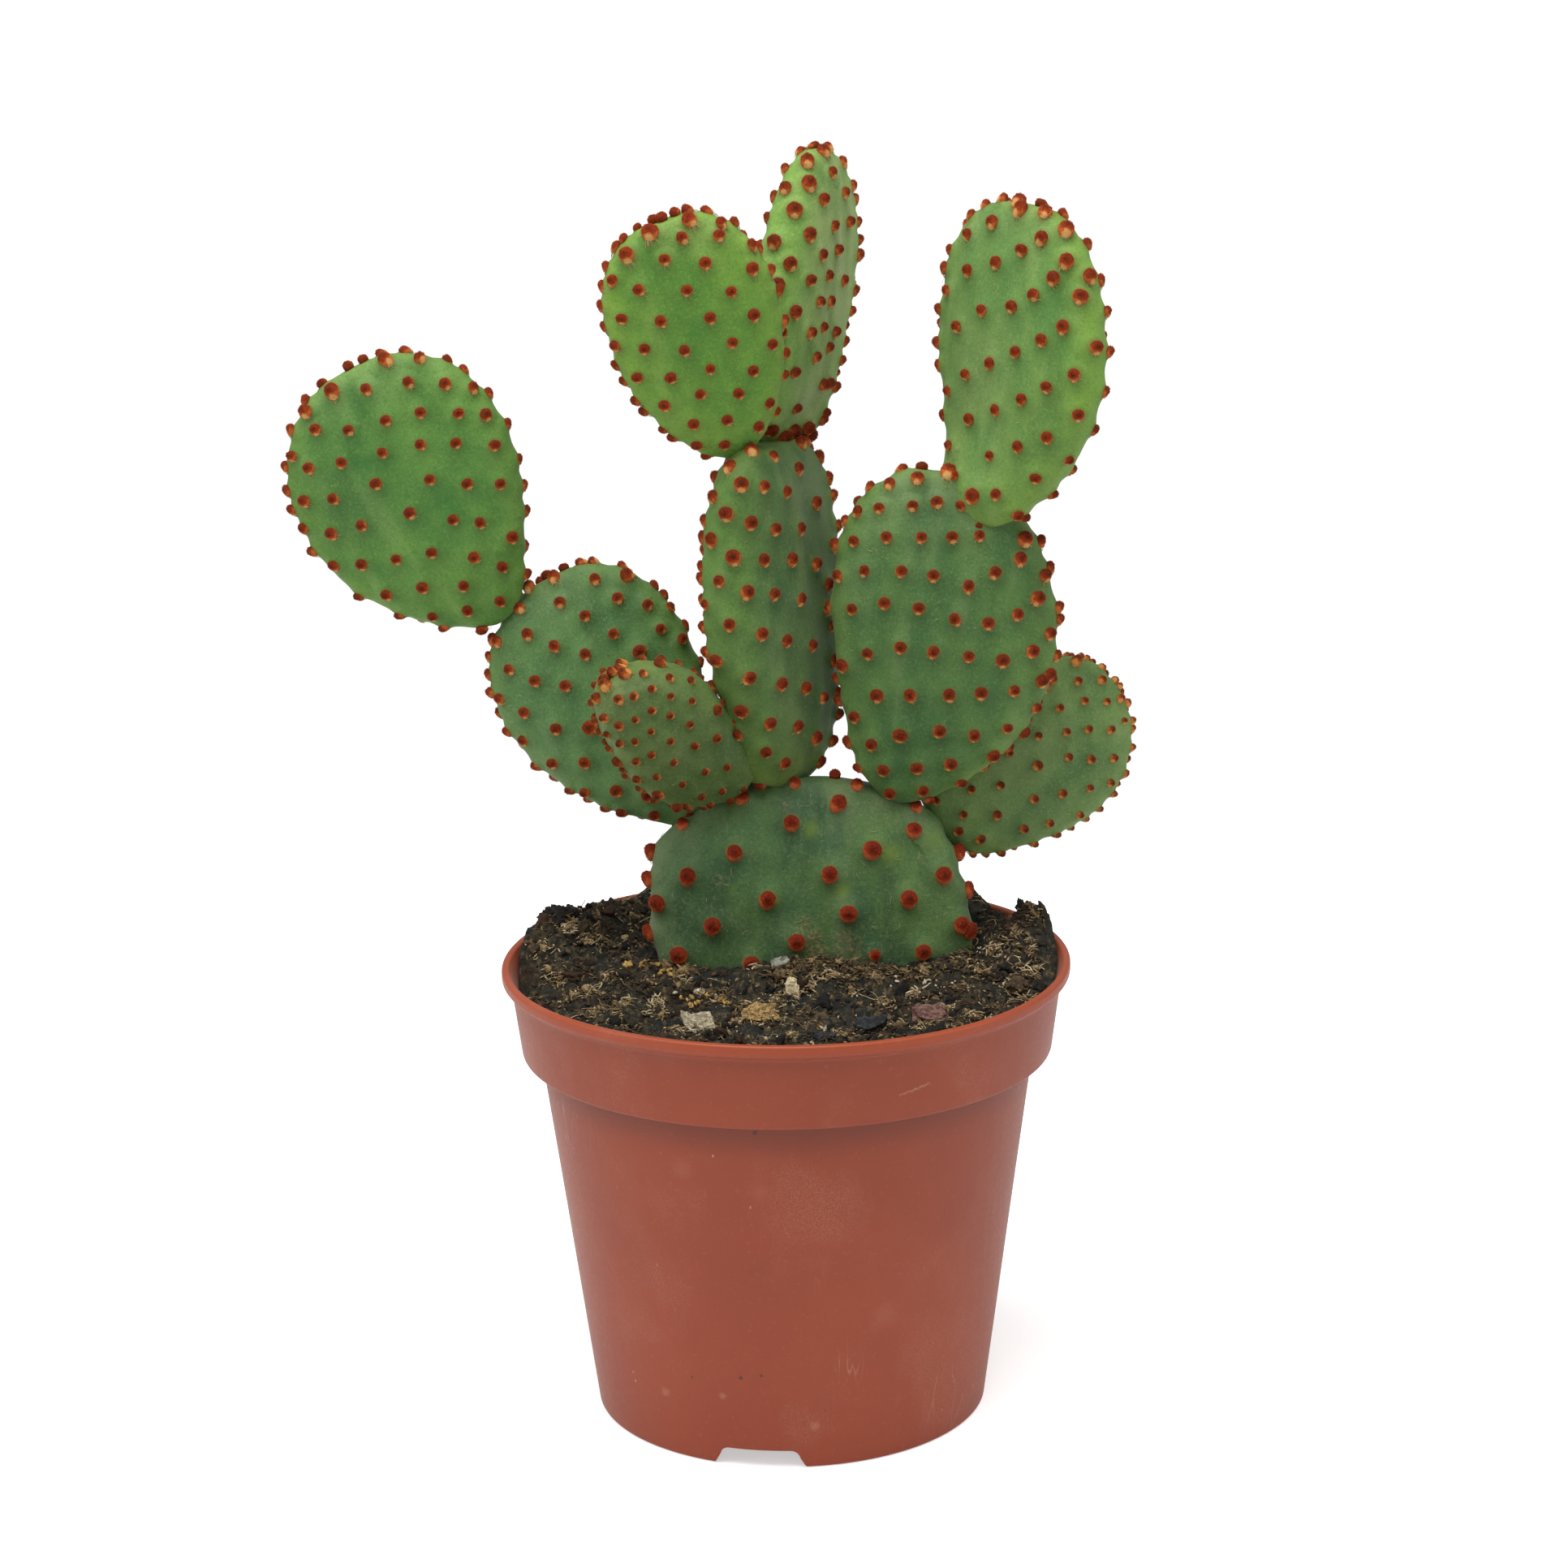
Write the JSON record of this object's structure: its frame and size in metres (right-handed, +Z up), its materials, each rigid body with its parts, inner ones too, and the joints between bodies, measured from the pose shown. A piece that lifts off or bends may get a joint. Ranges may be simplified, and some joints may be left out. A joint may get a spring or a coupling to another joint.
{
  "type": "potted paddle cactus",
  "caption": "Flat oval cactus pads dotted with rust-red bristle tufts, growing from one another out of dark peat in a flared round plastic nursery pot.",
  "frame": {"origin": "centre of the pot's foot, on the surface that it stands on", "axes": "+Z up along the pot's axis; -Y towards the side that most of the pads face; +X to the right of a viewer on that side"},
  "size_m": [0.1796, 0.12, 0.2674],
  "materials": {
    "pot_plastic": "satin terracotta-coloured plastic with faint scuffs and dust",
    "potting_mix": "rough dark peat with pale fibres",
    "root_bark": "dry pale brown bark",
    "pad_skin_old": "matt bluish green skin with fine pale hairs and corky scars",
    "pad_skin": "matt mid-green velvety skin",
    "pad_skin_bright": "matt bright green velvety skin",
    "pad_skin_young": "matt dark green velvety skin",
    "glochids": "dense rust-red bristles over tan felt",
    "wood_chip_pale": "flaky weathered wood",
    "bark_brown": "rough bark",
    "bark_dark": "damp dark bark",
    "stone_grey": "rough dry stone",
    "peat_fibre": "tangled tan peat fibre",
    "straw": "dry cream straw"
  },
  "bodies": {
    "root": {"pot": "pot_plastic", "potting_soil": "potting_mix", "roots": "root_bark", "pad_1_base": "pad_skin_old", "pad_2_left": "pad_skin", "pad_3_far_left": "pad_skin_bright", "pad_4_young": "pad_skin_young", "pad_5_centre": "pad_skin", "pad_6_upper_left": "pad_skin_bright", "pad_7_upper_middle": "pad_skin_bright", "pad_8_right": "pad_skin", "pad_9_upper_right": "pad_skin_bright", "pad_10_low_right": "pad_skin_young", "wood_flake": "wood_chip_pale", "bark_chip_pink": "bark_brown", "bark_chip_dark": "bark_dark", "bark_chip_front": "bark_dark", "stone_grey": "stone_grey", "flake_cream": "straw", "peat_clump_tan": "peat_fibre", "peat_clump_back_left": "peat_fibre", "straw_cream": "straw", "bark_chip_back": "bark_brown", "bark_chip_right": "bark_brown"}
  },
  "joints": []
}
